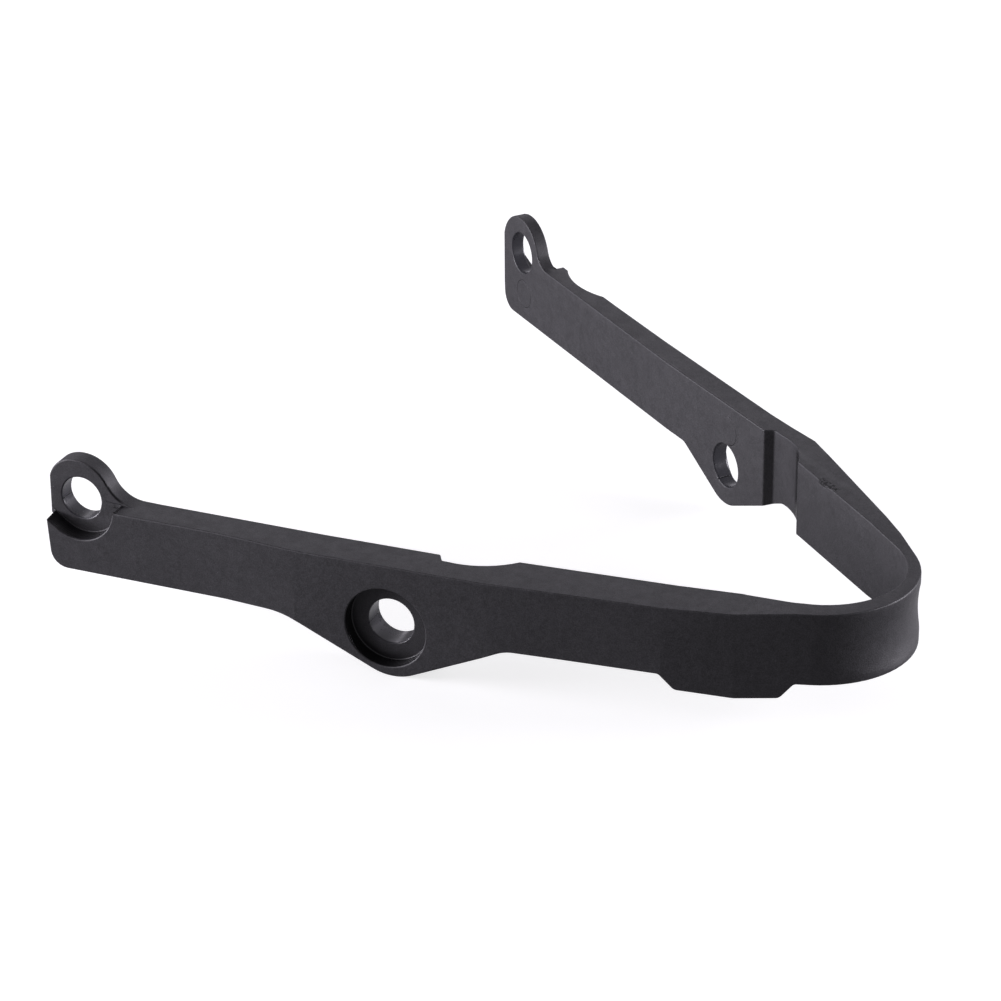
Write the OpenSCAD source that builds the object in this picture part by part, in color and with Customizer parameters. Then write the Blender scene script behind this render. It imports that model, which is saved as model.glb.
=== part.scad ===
// Chain slider: one moulded piece of hard-wearing plastic. A flat band stands on
// edge and wraps round a bend; two arms run back from it like the legs of a V.
// Millimetres, +Z up, +X along the near arm towards the bend, +Y inwards from the
// near arm to the far arm. The origin is the centre of the screw seat in the near
// arm's lobe.

/* [Near arm] */
// Height of the band along the near arm
near_height = 18; // [16:0.5:18]
// How far the bottom edge of the band lies below the near lobe hole
bottom_drop = 1; // [0.5:0.25:1.5]
// Distance of the ear hole behind the lobe hole
near_ear_x = -85.5; // [-86.5:0.1:-84.5]
// Height of the ear hole above the lobe hole
near_ear_z = 17; // [16:0.1:17.5]
// Thickness of the ear left behind its pocket
near_ear_wall = 5; // [4:0.25:6]

/* [Far arm] */
// Height of the band along the far arm
far_height = 19.5; // [19:0.1:20]
// How much the top edge rises between the far lobe and the bend
crest = 0.4; // [0.2:0.1:0.8]
// Height of the far lobe hole above the near one
far_lobe_z = 0.7; // [0:0.1:1]
// Distance of the far ear hole behind the far lobe hole
far_ear_x = -112.5; // [-113.5:0.1:-111.5]
// Height of the far ear hole above the near lobe hole
far_ear_z = 18.9; // [18.5:0.1:19.5]
// Thickness of the far ear left behind its pocket
far_ear_wall = 3.7; // [3.2:0.1:4.2]
// How far the bottom edge sinks between the far lobe and the bend
belly = 0.8; // [0.4:0.1:1.2]

/* [Holes] */
// Diameter of the two lobe holes
lobe_hole = 12; // [10:0.5:13]
// Diameter of the near ear hole
near_ear_hole = 11.2; // [9:0.2:12]
// Diameter of the far ear hole
far_ear_hole = 11.8; // [9:0.2:12]
// Diameter of the counterbores on the lobes
seat_diameter = 21.2; // [19:0.2:22]
// Depth of the near counterbore
near_seat_depth = 4; // [3:0.25:5]
// Depth of the far counterbore
far_seat_depth = 2.8; // [2:0.1:3.5]
// Radius of the round pocket in front of which each ear stands
pocket_radius = 9.8; // [9.4:0.1:10.2]

/* [Ears, lobes and tab] */
// Outer radius of the near ear
near_ear_radius = 9.7; // [9.4:0.1:10]
// Outer radius of the far ear
far_ear_radius = 10.4; // [10:0.1:10.6]
// Radius of the near lobe's rounded tip
near_tip = 13; // [12.5:0.25:13.5]
// Radius of the far lobe's rounded tip
far_tip = 10.4; // [10:0.2:11]
// How far the bottom tab stands below the band
tab_drop = 4.7; // [2:0.1:5]

/* [Bend] */
// Height of the band round the bend
bend_height = 19; // [18.5:0.1:19.4]
// Outer radius of the bend
bend_outer = 25; // [24.5:0.1:25.4]
// Inner radius of the bend
bend_inner = 20.5; // [20:0.1:20.8]
// Deepest point of the hollow round the outside of the bend
hollow = 1; // [0.3:0.1:1.2]

/* [Hidden] */
$fn = 96;
black = [0.09, 0.09, 0.10];

zb = -bottom_drop;                  // bottom plane of the band
zn = zb + near_height;              // top plane along the near arm
zf = zb + far_height;               // top plane along the far arm
zm = zb + bend_height;              // top plane round the bend
co = [99, 30.7];                    // centre of the bend's outside
ci = [99.8, 32.2];                  // centre of the bend's inside
fo = [49.6, 109.3];                 // far lobe hole on the inner face
fa = -39.5;                         // direction of the far arm, towards the bend
ni = [-65, 7.9];                    // where the near arm's inner face turns
na = atan2(ni.y - 13.4, ni.x + 160);// direction of the near arm's end section
fi = [-70, 1.1];                    // where the far arm's inner face turns
fe = atan2(fi.y - 4.3, fi.x + 160); // turn of the far end against the far arm
open = 160;                         // reach of the helper shapes

// Point given along (x) and outwards from (y) the far arm
function far(p) = [fo.x + p.x * cos(fa) - p.y * sin(fa),
                   fo.y + p.x * sin(fa) + p.y * cos(fa)];
// Points of an arc, from angle a to angle b in n steps
function arc(c, r, a, b, n) = [for (i = [0:n]) c + r * [cos(a + (b - a) * i / n), sin(a + (b - a) * i / n)]];
// Rounding of the corner p between the points a and b on either side of it
function round_corner(a, p, b, r, n = 6) =
    let (u = (a - p) / norm(a - p), v = (b - p) / norm(b - p),
         h = acos(u * v) / 2, m = (u + v) / norm(u + v),
         c = p + m * r / sin(h), s = c + (p + u * r / tan(h) - c),
         a0 = atan2((p + u * r / tan(h) - c).y, (p + u * r / tan(h) - c).x),
         a1 = atan2((p + v * r / tan(h) - c).y, (p + v * r / tan(h) - c).x),
         d = a1 - a0, e = d > 180 ? d - 360 : d < -180 ? d + 360 : d)
    arc(c, r, a0, a0 + e, n);
// Where a line from p touches the circle (c, r); side is +1 or -1
function touch(p, c, r, side) =
    let (d = norm(c - p), t = sqrt(d * d - r * r),
         w = atan2((c - p).y, (c - p).x) + side * asin(r / d))
    p + t * [cos(w), sin(w)];

near_kink = [87, 1.9];
far_kink = far([30.4, 7.8]);
t1 = touch(near_kink, co, bend_outer, -1);
far_bow = far([84, -2.2]);
t2 = touch(far_bow, co, bend_outer, 1);
far_in = far([39.8, -3]);
t3 = touch(far_in, ci, bend_inner, 1);
near_in = [86, 13.2];
t4 = touch(near_in, ci, bend_inner, -1);

// Everything inside the outer faces, seen from above
module outside_2d() {
    polygon(concat(
        [[-92.9, -0.6], [-44, -2], [-24, -4], [25, -4], [45, -2.5], [70, -0.9], near_kink, t1, co, t2, far_bow, far_kink],
        [for (p = [[11, 7], [-42, 7], [-70, 7.5], [-123.2, 9.2], [-123.5, 0]]) far(p)],
        [[-93.8, 11.7], [-94.3, 2.2]]));
    translate(co) circle(r = bend_outer);
}

// The open space between the arms, seen from above, with the two recesses
module inside_2d() {
    polygon(concat(
        [[-open, 13.4], ni, [-20, 6.9], [10.5, 6.9], [12, 4.1], [16, 4], [16, 9.9], [29.8, 9.9], [70, 11.8],
         near_in, t4, ci, t3, far_in],
        [for (p = [[25.5, -3], [25.5, 2.4], [19.6, 2.4], [18.2, 0], [-30, 0], fi, [-open, 4.3]]) far(p)]));
    translate(ci) circle(r = bend_inner);
    intersection() {
        translate([16, 23.2]) circle(r = 19.3);
        translate([12.6, 2]) square([18.4, 9]);
    }
    intersection() {
        translate(far([25.4, -16.5])) circle(r = 19);
        polygon([for (p = [[22, -3.3], [22, 6], [40, 6], [40, -3.3]]) far(p)]);
    }
}

module band_2d() {
    difference() {
        outside_2d();
        inside_2d();
    }
}

// Side outline of the near arm and the bend: x along the arm, y up
module near_side_2d() {
    k = 24.5;
    c = [1.8, 0];
    l = c + near_tip * [-sin(k), -cos(k)];
    r = c + near_tip * [sin(k), -cos(k)];
    lb = [l.x - (zb - l.y) / tan(k), zb];
    rb = [r.x + (zb - r.y) / tan(k), zb];
    zt = zb - tab_drop;
    ta = [73.2, zt + 0.8];
    tm = [87.5, zt];
    tb = [98, zt + 0.7];
    polygon(concat(
        [[-93.5, zn]],
        round_corner([-93.5, zn], [-92, zb], [-60, zb], 4.6),
        round_corner([-60, zb], lb, l, 22),
        arc(c, near_tip, -90 - k, -90 + k, 16),
        round_corner(r, rb, [60, zb], 10),
        round_corner([50, zb], [69.4, zb], ta, 1.5),
        round_corner([69.4, zb], ta, tm, 2),
        [tm],
        round_corner(tm, tb, [101.4, zb], 2),
        round_corner(tb, [101.4, zb], [107, zb], 1.5),
        [[130, zb], [130, zm], [101.5, zm], [87, zn]]));
}

// Side outline of an ear, hole at the origin: round c with radius r, its end upright
// at x = -back with a corner of radius k, its other side running into the top of the
// band at height h with the radius w
module ear_2d(c, r, back, k, w, h) {
    m = [k - back, c.y + sqrt(pow(r - k, 2) - pow(k - back - c.x, 2))];
    v = h + w - c.y;
    dx = c.x + sqrt(pow(r + w, 2) - v * v);
    q = asin(v / (r + w));
    polygon(concat(
        [[-back, h - 6]],
        arc(m, k, 180, atan2((m - c).y, (m - c).x), 12),
        arc(c, r, atan2((m - c).y, (m - c).x), q, 20),
        arc([dx, h + w], w, 180 + q, 270, 10),
        [[dx, h - 6]]));
}

// Side outline of the far arm, its end running into the bend: x along the arm, y up
module far_side_2d() {
    kl = 27.5;
    kr = 23.5;
    c = [-0.3, 0];
    l = c + far_tip * [-sin(kl), -cos(kl)];
    r = c + far_tip * [sin(kr), -cos(kr)];
    lb = [l.x - (zb - l.y) / tan(kl), zb];
    rb = [r.x + (zb - r.y) / tan(kr), zb];
    polygon(concat(
        [[-124, zf]],
        round_corner([-124, zf], [-123, zb], [-60, zb], 5),
        round_corner([-60, zb], lb, l, 4),
        arc(c, far_tip, -90 - kl, -90 + kr, 16),
        round_corner(r, rb, [60, zb], 4),
        [[26, zb], [39, zb - belly], [75, zb - belly], [98, zb + belly * 2 / 21],
         [101, (zb + zm) / 2], [98, zm - (zf + crest - zm) * 2 / 21],
         [75, zf + crest], [40, zf + crest], [20, zf]]));
}

// Frames of the holes: origin on the hole's axis, +Y along the axis from the near
// side to the far side
module at_near_ear() { translate([near_ear_x, -0.8, near_ear_z]) rotate([0, 0, na]) children(); }
module at_far_lobe() { translate([fo.x, fo.y, far_lobe_z]) rotate([0, 0, fa]) children(); }
module at_far_ear() {
    p = far([far_ear_x, fi.y + (far_ear_x - fi.x) * tan(fe)]);
    translate([p.x, p.y, far_ear_z]) rotate([0, 0, fa + fe]) children();
}
// Where the near ear's front face lies in its frame
near_floor = [-sin(na), cos(na)] * (ni - [near_ear_x, -0.8]) - near_ear_wall;

// Round bar along Y from y0 to y1
module bar(d, y0, y1) { translate([0, y1, 0]) rotate([90, 0, 0]) cylinder(d = d, h = y1 - y0); }
// Side outline given thickness from y0 to y1
module slab(y0, y1) { translate([0, y1, 0]) rotate([90, 0, 0]) linear_extrude(y1 - y0) children(); }
// Side outline of the pocket beside an ear: round about (x, z), and running out over
// the end of the arm at the slope a
module pocket_2d(x, z, a) {
    r = pocket_radius;
    polygon(concat(
        arc([x, z], r, -90 - a, 15, 36),
        [[x + r * cos(15), z + 9], [x - 20, z + 9],
         [x - r * sin(a) - 20 * cos(a), z - r * cos(a) + 20 * sin(a)]]));
}

// The band's edges and the ears seen from the sides, as thick blocks: near arm and
// bend, far arm, and the two ears
module side_blocks() {
    difference() {
        slab(-30, 60) near_side_2d();
        translate([-open, 19, -30]) cube([open + 108, 80, 80]);
    }
    at_near_ear() slab(near_floor, 18)
        ear_2d([-1.2, 0.6], near_ear_radius, 9.2, near_ear_radius - 2.2, 9, zn - near_ear_z);
    translate([fo.x, fo.y, 0]) rotate([0, 0, fa]) slab(-20, 30) far_side_2d();
    at_far_ear() slab(-10, far_ear_wall)
        ear_2d([-0.8, 0], far_ear_radius, far_ear_radius + 0.75, far_ear_radius - 0.4, 5.5, zf - far_ear_z);
}

module chain_slider() {
    color(black) difference() {
        intersection() {
            translate([0, 0, -20]) linear_extrude(60) band_2d();
            side_blocks();
        }
        at_near_ear() slab(-8, near_floor) pocket_2d(1.4, 0.6, 35);
        at_far_ear() slab(far_ear_wall, 14) pocket_2d(3.4, 0.4, 20);
        // near lobe: counterbore from outside, hole right through
        bar(seat_diameter, -near_seat_depth - 3, 0);
        bar(lobe_hole, -1, 12);
        // far lobe: counterbore from outside, hole right through
        at_far_lobe() bar(seat_diameter, 7 - far_seat_depth, 14);
        at_far_lobe() bar(lobe_hole, -4, 12);
        at_near_ear() bar(near_ear_hole, -4, 14);
        at_far_ear() bar(far_ear_hole, -4, 12);
        // shallow scallop in the outer face beside the far ear
        translate([far([-85.5, 29.6]).x, far([-85.5, 29.6]).y, zb - 1]) cylinder(r = 24, h = far_height + 2);
        // shallow hollow round the outside of the bend
        bend_hollow();
    }
}

// The chain bears on the outside of the bend, which is slightly hollow in height
module bend_hollow() {
    a1 = atan2((t1 - co).y, (t1 - co).x);
    a2 = atan2((t2 - co).y, (t2 - co).x);
    h = (a2 - a1) / 2;
    m = (a1 + a2) / 2;
    hc = bend_outer * sin(h);
    sg = bend_outer * (1 - cos(h)) - hollow;
    r2 = (hc * hc + sg * sg) / (2 * sg);
    off = bend_outer - hollow - r2;
    w = bend_height / 2 - 1;
    rg = (w * w + hollow * hollow) / (2 * hollow);
    span = 2 * asin(hc / r2);
    translate([co.x + off * cos(m), co.y + off * sin(m), zb + bend_height / 2])
        rotate([0, 0, m - span / 2])
            rotate_extrude(angle = span, $fn = 180)
                translate([r2 + rg, 0]) intersection() {
                    circle(r = rg, $fn = 360);
                    translate([-rg - 1, -w - 1]) square([6, 2 * w + 2]);
                }
}

chain_slider();
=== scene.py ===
"""Chain slider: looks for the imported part. One moulded piece of matte, fine-grained
black plastic on a plain white floor. Metres, in the part's own frame."""

import math

import bmesh
import bpy
from mathutils import Matrix, Vector
from mathutils.bvhtree import BVHTree


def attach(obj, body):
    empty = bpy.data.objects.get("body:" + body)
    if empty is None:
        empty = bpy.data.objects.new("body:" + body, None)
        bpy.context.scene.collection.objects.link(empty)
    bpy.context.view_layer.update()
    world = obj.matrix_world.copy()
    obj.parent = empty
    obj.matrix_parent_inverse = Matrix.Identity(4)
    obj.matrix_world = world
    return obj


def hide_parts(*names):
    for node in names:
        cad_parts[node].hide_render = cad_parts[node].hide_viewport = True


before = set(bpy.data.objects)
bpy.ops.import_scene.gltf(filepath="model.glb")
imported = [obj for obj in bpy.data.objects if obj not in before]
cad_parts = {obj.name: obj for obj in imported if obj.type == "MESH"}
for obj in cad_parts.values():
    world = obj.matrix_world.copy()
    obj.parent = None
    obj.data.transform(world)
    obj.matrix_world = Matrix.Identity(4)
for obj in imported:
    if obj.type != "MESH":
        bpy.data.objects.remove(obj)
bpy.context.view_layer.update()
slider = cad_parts["chain_slider"]

MM = 0.001

# ---------------------------------------------------------------- places on the part
FA = math.radians(-39.5)
FO = (49.6, 109.3)
NA = math.atan2(7.9 - 13.4, -65 + 160)
FE = math.atan2(1.1 - 4.3, -70 + 160)


def far(x, y):
    """Point given along (x) and outwards from (y) the far arm, in mm."""
    return (
        FO[0] + x * math.cos(FA) - y * math.sin(FA),
        FO[1] + x * math.sin(FA) + y * math.cos(FA),
    )


# ---------------------------------------------------------------- the moulding
def moulding():
    """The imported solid's mesh with its edges broken to a small radius, so that they
    catch a thin line of light. A vertex that the rounding throws off the solid is put
    back on it."""
    bm = bmesh.new()
    bm.from_mesh(slider.data)
    bmesh.ops.remove_doubles(bm, verts=bm.verts, dist=1e-6)
    solid = BVHTree.FromBMesh(bm)
    bmesh.ops.remove_doubles(bm, verts=bm.verts, dist=5e-5)
    bmesh.ops.dissolve_limit(bm, angle_limit=math.radians(0.6), verts=bm.verts, edges=bm.edges)
    sharp = [e for e in bm.edges if len(e.link_faces) == 2 and e.calc_face_angle() > math.radians(24)]
    bmesh.ops.bevel(
        bm, geom=sharp, offset=EDGE, offset_type="OFFSET", segments=3, profile=0.5,
        affect="EDGES", clamp_overlap=False, miter_outer="ARC", spread=0.1 * MM,
    )
    moved = 0
    for v in bm.verts:
        near, _, _, d = solid.find_nearest(v.co)
        if d > 0.22 * MM:
            v.co = near
            moved += 1
    bmesh.ops.remove_doubles(bm, verts=bm.verts, dist=4e-6)
    bmesh.ops.dissolve_degenerate(bm, dist=2e-6, edges=bm.edges)
    bmesh.ops.triangulate(bm, faces=[f for f in bm.faces if len(f.verts) > 4])
    bmesh.ops.recalc_face_normals(bm, faces=bm.faces)
    for f in bm.faces:
        f.smooth = True
    me = bpy.data.meshes.new("slider_moulding")
    bm.to_mesh(me)
    print("moulding", len(bm.verts), "verts, put back", moved, ", open edges", sum(not e.is_manifold for e in bm.edges))
    bm.free()
    o = bpy.data.objects.new("slider_moulding", me)
    bpy.context.scene.collection.objects.link(o)
    n = o.modifiers.new("normals", "WEIGHTED_NORMAL")
    n.mode = "FACE_AREA"
    n.weight = 50
    n.keep_sharp = False
    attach(o, "root")
    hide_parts("chain_slider")
    return o


EDGE = 0.36 * MM
body = moulding()


# ---------------------------------------------------------------- node helpers
class Tree:
    """Small helper for building one material's node tree."""

    def __init__(self, name):
        self.mat = bpy.data.materials.new(name)
        self.mat.use_nodes = True
        self.t = self.mat.node_tree
        self.t.nodes.clear()

    def node(self, kind, **kw):
        n = self.t.nodes.new(kind)
        for k, v in kw.items():
            setattr(n, k, v)
        return n

    def link(self, a, b):
        self.t.links.new(a, b)

    def put(self, socket, value):
        if hasattr(value, "node"):
            self.link(value, socket)
        else:
            socket.default_value = value

    def math(self, op, a, b=0.0, c=None, clamp=False):
        n = self.node("ShaderNodeMath", operation=op, use_clamp=clamp)
        self.put(n.inputs[0], a)
        self.put(n.inputs[1], b)
        if c is not None:
            self.put(n.inputs[2], c)
        return n.outputs[0]

    def vmath(self, op, a, b=None):
        n = self.node("ShaderNodeVectorMath", operation=op)
        self.put(n.inputs[0], a)
        if b is not None:
            self.put(n.inputs[1], b)
        return n.outputs["Value"] if op in ("DOT_PRODUCT", "LENGTH", "DISTANCE") else n.outputs["Vector"]

    def ramp(self, x, x0, x1, y0=0.0, y1=1.0, smooth=True):
        n = self.node("ShaderNodeMapRange", interpolation_type="SMOOTHSTEP" if smooth else "LINEAR")
        self.put(n.inputs["Value"], x)
        n.inputs["From Min"].default_value = x0
        n.inputs["From Max"].default_value = x1
        n.inputs["To Min"].default_value = y0
        n.inputs["To Max"].default_value = y1
        return n.outputs["Result"]

    def noise(self, vec, scale, detail=2.0, rough=0.5, distort=0.0):
        n = self.node("ShaderNodeTexNoise")
        self.put(n.inputs["Vector"], vec)
        n.inputs["Scale"].default_value = scale
        n.inputs["Detail"].default_value = detail
        n.inputs["Roughness"].default_value = rough
        n.inputs["Distortion"].default_value = distort
        return n.outputs["Fac"]

    def mix(self, fac, a, b):
        n = self.node("ShaderNodeMix", data_type="RGBA")
        self.put(n.inputs[0], fac)
        self.put(n.inputs[6], a)
        self.put(n.inputs[7], b)
        return n.outputs[2]

    def frame_of(self, origin, angle):
        """Position in a frame turned by angle about Z, origin in mm; gives x, y, z in mm."""
        geo = self.node("ShaderNodeTexCoord").outputs["Object"]
        m = self.node("ShaderNodeMapping", vector_type="TEXTURE")
        self.link(geo, m.inputs["Vector"])
        m.inputs["Location"].default_value = [v * MM for v in origin]
        m.inputs["Rotation"].default_value = (0, 0, angle)
        m.inputs["Scale"].default_value = (MM, MM, MM)
        s = self.node("ShaderNodeSeparateXYZ")
        self.link(m.outputs["Vector"], s.inputs[0])
        return m.outputs["Vector"], s.outputs[0], s.outputs[1], s.outputs[2]


def plastic():
    t = Tree("moulded_black")
    pos = t.node("ShaderNodeTexCoord").outputs["Object"]
    out = t.node("ShaderNodeOutputMaterial")
    bsdf = t.node("ShaderNodeBsdfPrincipled")
    t.link(bsdf.outputs[0], out.inputs["Surface"])
    M = t.math

    # frames, in mm: near arm, near ear, far arm, far ear
    vn, xn, yn, zn = t.frame_of((0, 0, 0), 0)
    vne, xe, ye, ze = t.frame_of((-85.5, -0.8, 17), NA)
    vf, xf, yf, zf = t.frame_of((FO[0], FO[1], 0), FA)
    fe0 = far(-112.5, 1.1 + (-112.5 + 70) * math.tan(FE))
    vfe, xg, yg, zg = t.frame_of((fe0[0], fe0[1], 18.9), FA + FE)

    def dist(x, z, cx, cz):
        return M("SQRT", M("ADD", M("POWER", M("SUBTRACT", x, cx), 2.0), M("POWER", M("SUBTRACT", z, cz), 2.0)))

    def band(v, lo, hi, soft=0.1):
        return M("MULTIPLY", t.ramp(v, lo - soft, lo + soft), t.ramp(v, hi + soft, hi - soft))

    def both(*m):
        r = m[0]
        for k in m[1:]:
            r = M("MULTIPLY", r, k)
        return r

    def most(*m):
        r = m[0]
        for k in m[1:]:
            r = M("MAXIMUM", r, k)
        return r

    # ---- colour: near black with a slow mottle and a fine fleck
    slow = t.ramp(t.noise(pos, 55, 3, 0.55), 0.3, 0.7)
    mid = t.ramp(t.noise(pos, 600, 3, 0.6), 0.3, 0.7)
    fine = t.ramp(t.noise(pos, 3400, 2, 0.6), 0.3, 0.7)
    tone = M("ADD", M("ADD", M("MULTIPLY", slow, 0.1), M("MULTIPLY", mid, 0.25)), M("MULTIPLY", fine, 0.65))
    colour = t.mix(tone, (0.009, 0.0088, 0.0095, 1), (0.041, 0.040, 0.0435, 1))

    # ---- bores: smooth and glossier, their colour a little lighter as a painted sheen
    def bore(x, z, cx, cz, r):
        return t.ramp(dist(x, z, cx, cz), r + 0.3, r + 0.1)

    b_ne = both(bore(xe, ze, 0, 0, 5.6), band(ye, 3.0, 12.0))
    b_fe = both(bore(xg, zg, 0, 0, 5.9), band(yg, -2.0, 8.0))
    b_nl = both(bore(xn, zn, 0, 0, 6.0), band(yn, -1.0, 8.0))
    b_fl = both(bore(xf, zf, 0, 0.7, 6.0), band(yf, -1.0, 8.0))
    bores = most(b_ne, b_fe, b_nl, b_fl)

    # ---- pocket and counterbore walls: darkened as painted shade, with fine turned lines
    r_ne = dist(xe, ze, 1.4, 0.6)
    w_ne = both(band(ye, 0.5, 4.75, 0.15), t.ramp(r_ne, 11.5, 10.6), t.ramp(xe, -8.35, -8.2), t.ramp(ze, 2.5, 0.5))
    r_fe = dist(xg, zg, 3.4, 0.4)
    w_fe = both(band(yg, 3.9, 7.2, 0.15), t.ramp(r_fe, 10.6, 10.2))
    r_nl = dist(xn, zn, 0, 0)
    w_nl = both(band(yn, -3.75, -0.1, 0.1), band(r_nl, 10.4, 10.8, 0.1))
    r_fl = dist(xf, zf, 0, 0.7)
    w_fl = both(band(yf, 4.2, 8.0), band(r_fl, 10.4, 10.8, 0.1))
    # the near counterbore's floor lies in the wall's shade, most of all at the lower left
    low = t.ramp(M("MULTIPLY", M("ADD", xn, zn), -0.0667), -0.15, 0.6)
    f_nl = both(band(yn, -0.3, 0.3), t.ramp(r_nl, 7.6, 10.3), t.ramp(r_nl, 10.9, 10.7), low)
    wall_shade = most(w_ne, w_fe, w_nl, w_fl, M("MULTIPLY", f_nl, 0.8))
    rings = t.ramp(M("SINE", M("MULTIPLY", ye, 8.5)), -0.2, 0.9)

    # ---- witness circles of the ejector pins, on the inner face of the far arm
    inner = band(yf, -0.3, 0.3)
    c1 = both(band(dist(xg, M("ADD", zg, 18.9), 1.2, 6.9), 3.95, 4.1, 0.09), band(yg, -0.3, 0.3))
    c2 = both(band(dist(xf, zf, 1.0, 11.2), 3.95, 4.1, 0.09), t.ramp(xf, 0.6, 1.6), inner)
    circles = most(c1, M("MULTIPLY", c2, 0.9))

    # ---- witness lines along the bores
    def line(x, z, cx, cz, angle, mask):
        a = M("ARCTAN2", M("SUBTRACT", z, cz), M("SUBTRACT", x, cx))
        return both(t.ramp(M("ABSOLUTE", M("SUBTRACT", a, math.radians(angle))), 0.035, 0.012), mask)

    lines = most(line(xe, ze, 0, 0, -166, b_ne), line(xn, zn, 0, 0, -166, b_nl), line(xf, zf, 0, 0.7, -122, b_fl))

    # ---- crease where the near ear's front face meets its rim: a bumped groove, darkened as painted shade
    e1 = both(band(dist(xe, ze, -1.2, 0.6), 9.35, 9.6, 0.12), t.ramp(xe, 1.5, 4.0), t.ramp(ze, 4.0, 5.0))
    e2 = both(band(dist(xe, ze, 15.507, 9.0), 8.95, 9.25, 0.12), t.ramp(xe, 12.5, 10.5), t.ramp(ze, 5.0, 4.0), t.ramp(ze, -0.2, 0.6))
    shaded_crease = both(most(e1, e2), band(ye, 4.7, 5.35, 0.12))
    smudge = both(t.ramp(dist(xe, ze, 9.9, -0.9), 1.5, 0.5), band(ye, 3.0, 5.6, 0.3), t.ramp(t.noise(pos, 1500, 2), 0.42, 0.55))

    # ---- gate nick and flaws along the top edges
    gate = both(
        t.ramp(M("ABSOLUTE", M("SUBTRACT", xf, 53.9)), 4.8, 3.0),
        t.ramp(M("ABSOLUTE", M("SUBTRACT", yf, M("ADD", -3.45, M("MULTIPLY", t.noise(pos, 420, 2), 0.3)))), 1.1, 0.6),
        t.ramp(zf, 17.6, 18.1),
        t.ramp(t.noise(pos, 1500, 3, 0.7), 0.44, 0.56),
    )
    def spot(x, y, r):
        return both(t.ramp(dist(xn, yn, x, y), r, r * 0.45), t.ramp(zn, 16.2, 16.6), t.ramp(t.noise(pos, 1900, 2), 0.42, 0.52))

    flaws = most(spot(66.3, 10.9, 0.8), spot(73.0, 11.8, 0.6), spot(90.1, 9.9, 0.45))
    smear = both(t.ramp(M("ABSOLUTE", M("SUBTRACT", xn, 70.0)), 6.5, 4.0), t.ramp(M("ABSOLUTE", M("SUBTRACT", yn, 8.2)), 1.4, 0.6), t.ramp(zn, 16.5, 16.8), t.ramp(t.noise(pos, 700, 3, 0.7), 0.45, 0.6))

    # ---- the hollow side of the recess by the bend: smoother, and darkened in its corner as painted shade
    hollow_shade = both(band(xf, 29.4, 38.3, 0.9), band(yf, -2.7, 1.6, 0.3), band(zf, -1.5, 18.0, 1.2))

    # ---- specks of dust and fine scuffs
    v = t.node("ShaderNodeTexVoronoi", feature="F1", distance="EUCLIDEAN")
    t.link(pos, v.inputs["Vector"])
    v.inputs["Scale"].default_value = 380
    sv = t.node("ShaderNodeSeparateColor")
    t.link(v.outputs["Color"], sv.inputs[0])
    specks = both(t.ramp(v.outputs["Distance"], 0.055, 0.03), t.ramp(sv.outputs[0], 0.55, 0.6))
    st = t.node("ShaderNodeMapping")
    t.link(pos, st.inputs["Vector"])
    st.inputs["Scale"].default_value = (60, 60, 900)
    st.inputs["Rotation"].default_value = (0.02, 0.03, 0.0)
    scuff = t.ramp(t.noise(st.outputs["Vector"], 1.0, 3, 0.6), 0.66, 0.74)

    # painted sheen: the bores' colour is made a little lighter
    colour = t.mix(M("MULTIPLY", bores, 0.55), colour, (0.042, 0.043, 0.050, 1))
    # painted shade: the pocket and counterbore walls, and the near counterbore's floor, go near black
    colour = t.mix(M("MULTIPLY", wall_shade, 0.85), colour, (0.0042, 0.004, 0.0045, 1))
    colour = t.mix(both(w_ne, rings, M("ADD", 0.0, 0.28)), colour, (0.022, 0.0215, 0.024, 1))
    # painted shade in the recess's hollow corner
    colour = t.mix(M("MULTIPLY", hollow_shade, 0.9), colour, (0.003, 0.003, 0.0035, 1))
    colour = t.mix(M("MULTIPLY", circles, 0.7), colour, (0.006, 0.006, 0.007, 1))
    colour = t.mix(M("MULTIPLY", lines, 0.8), colour, (0.004, 0.004, 0.005, 1))
    # painted shade along the crease, with the dark smudge beside it
    colour = t.mix(M("MULTIPLY", most(shaded_crease, smudge), 0.95), colour, (0.0015, 0.0015, 0.0018, 1))
    colour = t.mix(M("MULTIPLY", gate, 0.95), colour, (0.001, 0.001, 0.001, 1))
    colour = t.mix(M("MULTIPLY", flaws, 0.85), colour, (0.0035, 0.0035, 0.004, 1))
    colour = t.mix(M("MULTIPLY", smear, 0.4), colour, (0.012, 0.012, 0.013, 1))
    colour = t.mix(M("MULTIPLY", specks, 0.55), colour, (0.13, 0.13, 0.14, 1))
    colour = t.mix(M("MULTIPLY", scuff, 0.10), colour, (0.07, 0.07, 0.075, 1))

    # ---- roughness: matt outside, smoother on the inner faces, satin in the bores
    rough = t.ramp(t.noise(pos, 240, 3, 0.6), 0.3, 0.7, 0.50, 0.58)
    smooth = most(t.ramp(M("ABSOLUTE", yf), 1.2, 0.6), both(t.ramp(yn, 3.0, 6.0), t.ramp(zn, 16.6, 16.0)))
    rough = M("SUBTRACT", rough, M("MULTIPLY", smooth, 0.05))
    rough = M("SUBTRACT", rough, M("MULTIPLY", bores, 0.24))
    rough = M("SUBTRACT", rough, M("MULTIPLY", most(wall_shade, hollow_shade), 0.30))
    rough = M("ADD", rough, M("MULTIPLY", most(shaded_crease, smudge, gate, flaws), 0.4), clamp=True)

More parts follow.
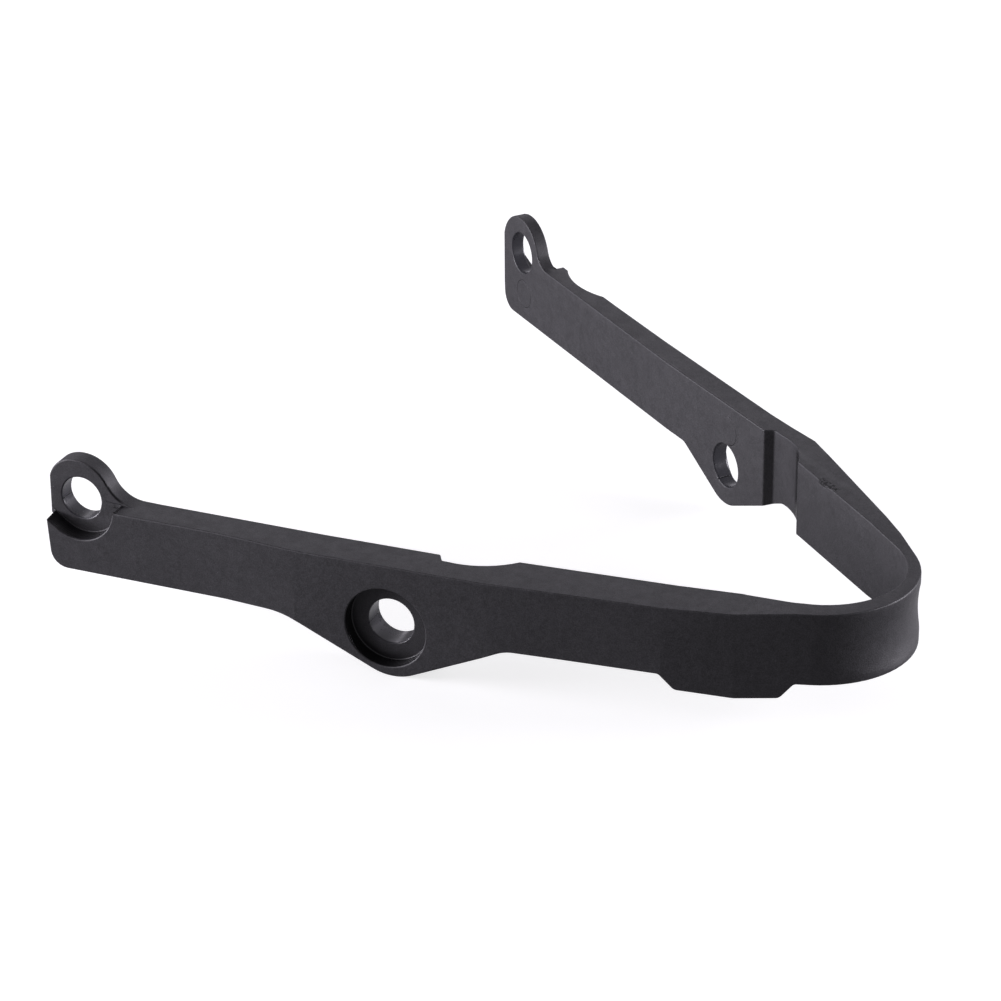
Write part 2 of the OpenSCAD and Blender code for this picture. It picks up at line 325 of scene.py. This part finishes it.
    # ---- bump: spark-eroded grain, a slow moulding sink, and the small marks
    grain = M("ADD", M("MULTIPLY", t.noise(pos, 3400, 2, 0.6), 0.65), M("MULTIPLY", t.noise(pos, 1500, 3, 0.6), 0.35))
    amount = M("SUBTRACT", 1.0, M("MULTIPLY", bores, 0.85))
    sink = t.node("ShaderNodeBump")
    sink.inputs["Strength"].default_value = 0.2
    sink.inputs["Distance"].default_value = 0.0001
    t.link(t.noise(pos, 70, 2, 0.5), sink.inputs["Height"])
    marks = t.node("ShaderNodeBump")
    marks.inputs["Strength"].default_value = 0.7
    marks.inputs["Distance"].default_value = 0.0001
    height = M("ADD", M("MULTIPLY", most(circles, lines, shaded_crease), -2.6), M("MULTIPLY", most(gate, flaws), -4.0))
    height = M("ADD", height, both(w_ne, rings, M("ADD", 0.0, 0.5)))
    t.link(height, marks.inputs["Height"])
    t.link(sink.outputs["Normal"], marks.inputs["Normal"])
    b = t.node("ShaderNodeBump")
    b.inputs["Strength"].default_value = 0.75
    b.inputs["Distance"].default_value = 0.00009
    t.link(M("MULTIPLY", grain, amount), b.inputs["Height"])
    t.link(marks.outputs["Normal"], b.inputs["Normal"])

    t.link(colour, bsdf.inputs["Base Color"])
    t.link(rough, bsdf.inputs["Roughness"])
    t.link(b.outputs["Normal"], bsdf.inputs["Normal"])
    bsdf.inputs["Specular IOR Level"].default_value = 0.5
    return t.mat


body.data.materials.append(plastic())


# ---------------------------------------------------------------- floor
GLOW = 0.72


def sweep():
    """A plain white floor under the object."""
    zf = -13.0 * MM
    me = bpy.data.meshes.new("floor")
    me.from_pydata([(-2.5, -2.5, zf), (2.5, -2.5, zf), (2.5, 2.5, zf), (-2.5, 2.5, zf)], [], [(0, 1, 2, 3)])
    o = bpy.data.objects.new("floor", me)
    bpy.context.scene.collection.objects.link(o)
    t = Tree("floor_white")
    out = t.node("ShaderNodeOutputMaterial")
    bsdf = t.node("ShaderNodeBsdfPrincipled")
    pos = t.node("ShaderNodeTexCoord").outputs["Object"]
    t.link(t.mix(t.noise(pos, 8, 2), (0.48, 0.48, 0.48, 1), (0.50, 0.50, 0.50, 1)), bsdf.inputs["Base Color"])
    t.link(t.ramp(t.noise(pos, 30, 2), 0.3, 0.7, 0.75, 0.85), bsdf.inputs["Roughness"])
    t.link(bsdf.outputs[0], out.inputs["Surface"])
    bsdf.inputs["Emission Color"].default_value = (1, 1, 1, 1)
    bsdf.inputs["Emission Strength"].default_value = GLOW
    me.materials.append(t.mat)
    # the object sees the studio's lights, not the paper it stands on
    o.visible_diffuse = False
    o.visible_glossy = False
    return o


sweep()

# ---------------------------------------------------------------- light
bpy.context.scene.view_settings.view_transform = "Standard"
bpy.context.scene.view_settings.look = "None"
TINT = (1.0, 0.965, 1.06)
world = bpy.data.worlds.new("white")
bpy.context.scene.world = world
world.use_nodes = True
wt = world.node_tree
# the studio is brighter low down behind the object, where the white table runs on
wd = wt.nodes.new("ShaderNodeTexCoord").outputs["Generated"]
wx = wt.nodes.new("ShaderNodeSeparateXYZ")
wt.links.new(wd, wx.inputs[0])
wy = wt.nodes.new("ShaderNodeMapRange")
wy.interpolation_type = "SMOOTHSTEP"
wt.links.new(wx.outputs[1], wy.inputs["Value"])
wy.inputs["From Min"].default_value, wy.inputs["From Max"].default_value = 0.55, 0.85
wz = wt.nodes.new("ShaderNodeMapRange")
wz.interpolation_type = "SMOOTHSTEP"
wt.links.new(wx.outputs[2], wz.inputs["Value"])
wz.inputs["From Min"].default_value, wz.inputs["From Max"].default_value = -0.25, -0.5
wm = wt.nodes.new("ShaderNodeMath")
wm.operation = "MULTIPLY"
wt.links.new(wy.outputs[0], wm.inputs[0])
wt.links.new(wz.outputs[0], wm.inputs[1])
wc = wt.nodes.new("ShaderNodeMix")
wc.data_type = "RGBA"
wt.links.new(wm.outputs[0], wc.inputs[0])
wc.inputs[6].default_value = (*TINT, 1)
wc.inputs[7].default_value = (3.0, 2.95, 3.1, 1)
wt.links.new(wc.outputs[2], wt.nodes["Background"].inputs[0])
world.node_tree.nodes["Background"].inputs[1].default_value = 0.2245


def area(name, at, to, size, power, shape="RECTANGLE", size_y=None):
    d = bpy.data.lights.new(name, "AREA")
    d.shape = shape
    d.size = size
    if size_y:
        d.size_y = size_y
    d.energy = power
    d.color = TINT
    o = bpy.data.objects.new(name, d)
    o.location = at
    v = Vector(to) - Vector(at)
    o.rotation_euler = v.to_track_quat("-Z", "Y").to_euler()
    bpy.context.scene.collection.objects.link(o)
    return o


centre = (0.015, 0.095, 0.01)
area("left", (-0.75, -0.05, 0.25), centre, 0.5, 1.0, size_y=0.5)
area("left_far", (-1.3, -0.1, 0.4), centre, 0.8, 1.6, size_y=0.6)
area("left_low", (-0.75, -0.2, 0.08), centre, 0.3, 4.9, size_y=0.12)
area("left_front", (-0.85, -0.45, 0.25), centre, 0.5, 5.6, size_y=0.5)
area("back", (0.0, 0.95, 0.45), centre, 0.9, 0.6, size_y=0.5)
area("back_low", (-0.35, 0.95, 0.3), centre, 0.5, 0.33, size_y=0.25)
area("right_back", (0.7, 0.7, 0.35), centre, 0.5, 0.8, size_y=0.5)
area("right_low", (0.8, 0.4, 0.15), centre, 0.35, 8.6, size_y=0.25)
area("front_left", (-0.6, -0.6, 0.25), centre, 0.5, 0.34, size_y=0.5)
area("inside", (-0.35, 0.45, 0.2), centre, 0.2, 0.1, size_y=0.2)

# ---------------------------------------------------------------- camera
F, EL, ROLL, HD = 4256.475, math.radians(26.554), math.radians(-0.424), math.radians(-21.358)
Rz = Matrix(((math.cos(HD), -math.sin(HD), 0), (math.sin(HD), math.cos(HD), 0), (0, 0, 1)))
Rc = Matrix(((1, 0, 0), (0, -math.sin(EL), -math.cos(EL)), (0, math.cos(EL), -math.sin(EL))))
Rr = Matrix(((math.cos(ROLL), -math.sin(ROLL), 0), (math.sin(ROLL), math.cos(ROLL), 0), (0, 0, 1)))
R = Rr @ Rc @ Rz
T = Vector((-27.951, 31.806, 1039.499))
C = -(R.transposed() @ T) - Vector((0, 3.3, 1.0))
cam_data = bpy.data.cameras.new("camera")
cam_data.sensor_fit = "HORIZONTAL"
cam_data.sensor_width = 36
cam_data.lens = F / 1001 * 36
cam_data.clip_start = 0.05
cam_data.clip_end = 20
cam = bpy.data.objects.new("camera", cam_data)
rot = Matrix((R[0], -R[1], -R[2])).transposed()
cam.matrix_world = Matrix.Translation(C * MM) @ rot.to_4x4()
bpy.context.scene.collection.objects.link(cam)
bpy.context.scene.camera = cam
